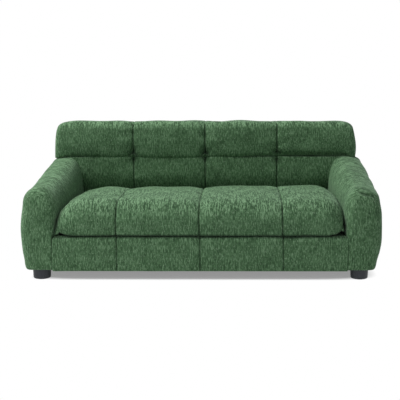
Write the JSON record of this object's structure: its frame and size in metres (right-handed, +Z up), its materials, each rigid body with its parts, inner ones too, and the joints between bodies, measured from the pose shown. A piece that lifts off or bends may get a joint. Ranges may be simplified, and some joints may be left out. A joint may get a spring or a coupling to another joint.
{
  "type": "pet sofa bed",
  "caption": "Upholstered pet sofa with rounded arms, a quilted backrest roll over a lower pad, a lift-out channelled seat cushion with a zipped cover, and short round feet.",
  "frame": {"origin": "on the floor, under the middle of the sofa", "axes": "+X towards the right arm as seen from the front, +Y towards the backrest, +Z up"},
  "size_m": [1.2, 0.64, 0.52],
  "materials": {
    "green_fabric": "soft chenille pile, mottled green",
    "foam": "open-cell foam, matt",
    "pine_board": "planed softwood",
    "plywood": "sanded plywood",
    "hardboard": "smooth hardboard",
    "dust_cloth": "thin non-woven cloth",
    "zinc_steel": "zinc plated",
    "foot_plastic": "moulded, satin",
    "felt": "pressed felt",
    "zip_tape": "woven tape with a nylon coil",
    "zip_metal": "dark nickel"
  },
  "bodies": {
    "sofa": {"assembly_bolts": "zinc_steel", "assembly_washers": "zinc_steel", "back_bottom_rail": "pine_board", "back_centre_post": "pine_board", "back_dust_cover": "dust_cloth", "back_front_panel": "plywood", "back_left_post": "pine_board", "back_lower_cover": "green_fabric", "back_lower_foam": "foam", "back_lower_rail": "pine_board", "back_mid_rails": "pine_board", "back_rear_cover": "green_fabric", "back_right_post": "pine_board", "back_roll_cover": "green_fabric", "back_roll_foam": "foam", "back_top_rail": "pine_board", "base_corner_blocks": "pine_board", "base_cross_rails": "pine_board", "base_dust_cover": "dust_cloth", "base_front_cover": "green_fabric", "base_front_foam": "foam", "base_front_rail": "pine_board", "base_left_rail": "pine_board", "base_rear_rail": "pine_board", "base_right_rail": "pine_board", "deck_cover": "green_fabric", "foot_front_left": "foot_plastic", "foot_front_right": "foot_plastic", "foot_glides": "felt", "foot_rear_left": "foot_plastic", "foot_rear_right": "foot_plastic", "foot_studs": "zinc_steel", "frame_screws": "zinc_steel", "left_arm_bottom_rail": "pine_board", "left_arm_cover": "green_fabric", "left_arm_dust_cover": "dust_cloth", "left_arm_foam": "foam", "left_arm_front_post": "pine_board", "left_arm_inner_panel": "plywood", "left_arm_outer_panel": "hardboard", "left_arm_rear_post": "pine_board", "left_arm_top_rail": "pine_board", "right_arm_bottom_rail": "pine_board", "right_arm_cover": "green_fabric", "right_arm_dust_cover": "dust_cloth", "right_arm_foam": "foam", "right_arm_front_post": "pine_board", "right_arm_inner_panel": "plywood", "right_arm_outer_panel": "hardboard", "right_arm_rear_post": "pine_board", "right_arm_top_rail": "pine_board", "seat_deck": "plywood", "tee_nuts": "zinc_steel"},
    "cushion": {"seat_cushion_cover": "green_fabric", "seat_cushion_core": "foam", "cushion_zip_tape": "zip_tape"},
    "slider": {"zip_slider": "zip_metal"},
    "pull": {"zip_pull": "zip_metal"}
  },
  "joints": [
    {"name": "cushion_lift_out", "type": "slide", "parent": "sofa", "child": "cushion", "axis": [0, -0.5, 0.866], "range_m": [0, 0.4]},
    {"name": "zip_slide", "type": "slide", "parent": "cushion", "child": "slider", "axis": [1, 0, 0], "range_m": [0, 0.84]},
    {"name": "zip_pull_swing", "type": "hinge", "parent": "slider", "child": "pull", "pos_m": [-0.423, 0.1882, 0.168], "axis": [0, 0, 1], "range_deg": [0, 180]}
  ]
}
